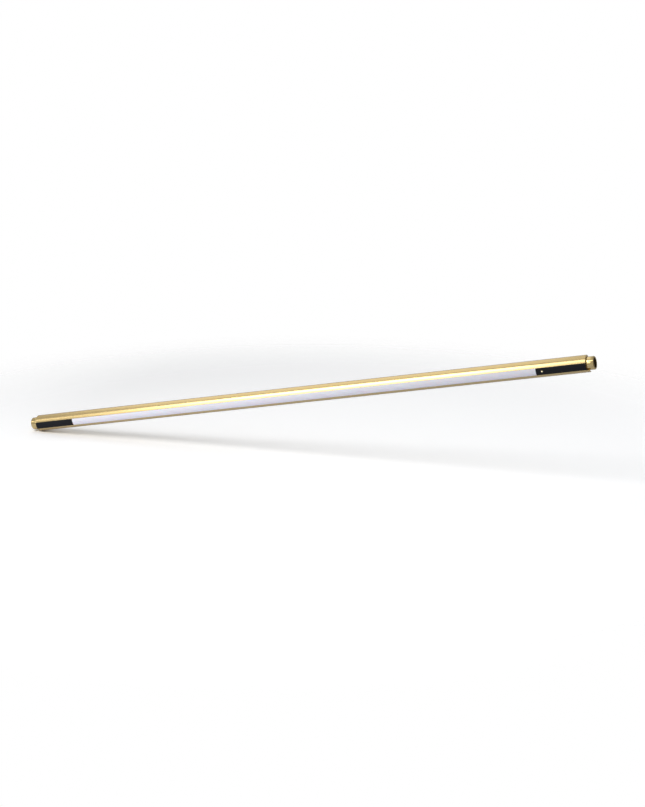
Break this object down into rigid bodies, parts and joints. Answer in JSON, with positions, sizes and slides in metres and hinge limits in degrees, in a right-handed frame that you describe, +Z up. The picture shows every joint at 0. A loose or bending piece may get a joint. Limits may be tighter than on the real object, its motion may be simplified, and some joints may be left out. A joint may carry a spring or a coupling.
{
  "type": "linear light bar",
  "caption": "Slim round tube light bar with a slot-mounted opal diffuser, a push-button dimmer and swivelling hollow end spigots.",
  "frame": {"origin": "on the tube's axis, at the middle of its length", "axes": "+X along the tube towards the end with the dimmer button, -Y out of the slot and the diffuser, +Z up"},
  "size_m": [1, 0.027, 0.027],
  "materials": {
    "brass_tube": "satin, brass coloured",
    "turned_brass": "fine turned",
    "contact_brass": "bright",
    "opal": "satin opal, translucent",
    "black_insert": "satin black",
    "black_nylon": "matt black",
    "pilot_lens": "clear, lit",
    "spring_steel": "bright",
    "blackened_steel": "blackened",
    "bare_aluminium": "mill finish",
    "white_board": "white solder mask",
    "led_phosphor": "yellow phosphor",
    "green_board": "green solder mask",
    "steel_screws": "zinc plated",
    "ferrite": "dark ferrite",
    "chip_epoxy": "black epoxy",
    "capacitor_can": "bright can",
    "terminal_plastic": "green",
    "red_lead": "satin",
    "black_lead": "satin",
    "grey_lead": "satin"
  },
  "bodies": {
    "bar": {"housing_tube": "brass_tube", "left_end_plug": "brass_tube", "right_end_plug": "brass_tube", "slip_contact": "contact_brass", "ring_contact": "contact_brass", "diffuser": "opal", "right_insert": "black_insert", "left_insert": "black_insert", "contact_bulkhead": "black_nylon", "tact_switch": "black_nylon", "button_bezel": "black_nylon", "button_spring": "spring_steel", "plug_set_screws": "blackened_steel", "led_carrier": "bare_aluminium", "board_standoffs": "bare_aluminium", "led_strip_board": "white_board", "led_chips": "led_phosphor", "dimmer_board": "green_board", "switch_board": "green_board", "board_screws": "steel_screws", "switch_board_screws": "steel_screws", "power_inductor": "ferrite", "dimmer_chip": "chip_epoxy", "filter_capacitors": "capacitor_can", "lead_terminal": "terminal_plastic", "positive_lead": "red_lead", "strip_positive_lead": "red_lead", "negative_lead": "black_lead", "strip_negative_lead": "black_lead", "switch_lead": "grey_lead"},
    "right_swivel": {"right_spigot": "turned_brass", "right_thrust_washer": "turned_brass", "right_stop_washer": "spring_steel", "right_retaining_clip": "blackened_steel", "contact_insulator": "black_nylon", "centre_contact_pin": "contact_brass"},
    "left_swivel": {"left_spigot": "turned_brass", "left_thrust_washer": "turned_brass", "left_stop_washer": "spring_steel", "left_retaining_clip": "blackened_steel", "left_socket_blank": "black_nylon"},
    "button": {"button_cap": "black_nylon", "pilot_light_pipe": "pilot_lens", "switch_plunger": "pilot_lens"}
  },
  "joints": [
    {"name": "right_spigot_turn", "type": "hinge", "parent": "bar", "child": "right_swivel", "pos_m": [0.488, 0, 0], "axis": [1, 0, 0], "range_deg": [-165, 165]},
    {"name": "left_spigot_turn", "type": "hinge", "parent": "bar", "child": "left_swivel", "pos_m": [-0.488, 0, 0], "axis": [1, 0, 0], "range_deg": [-165, 165]},
    {"name": "button_press", "type": "slide", "parent": "bar", "child": "button", "axis": [0, 1, 0], "range_m": [0, 0.0005], "stiffness_N_per_m": 3000, "springref_m": -0.0002, "deforming": ["button_spring"]}
  ]
}
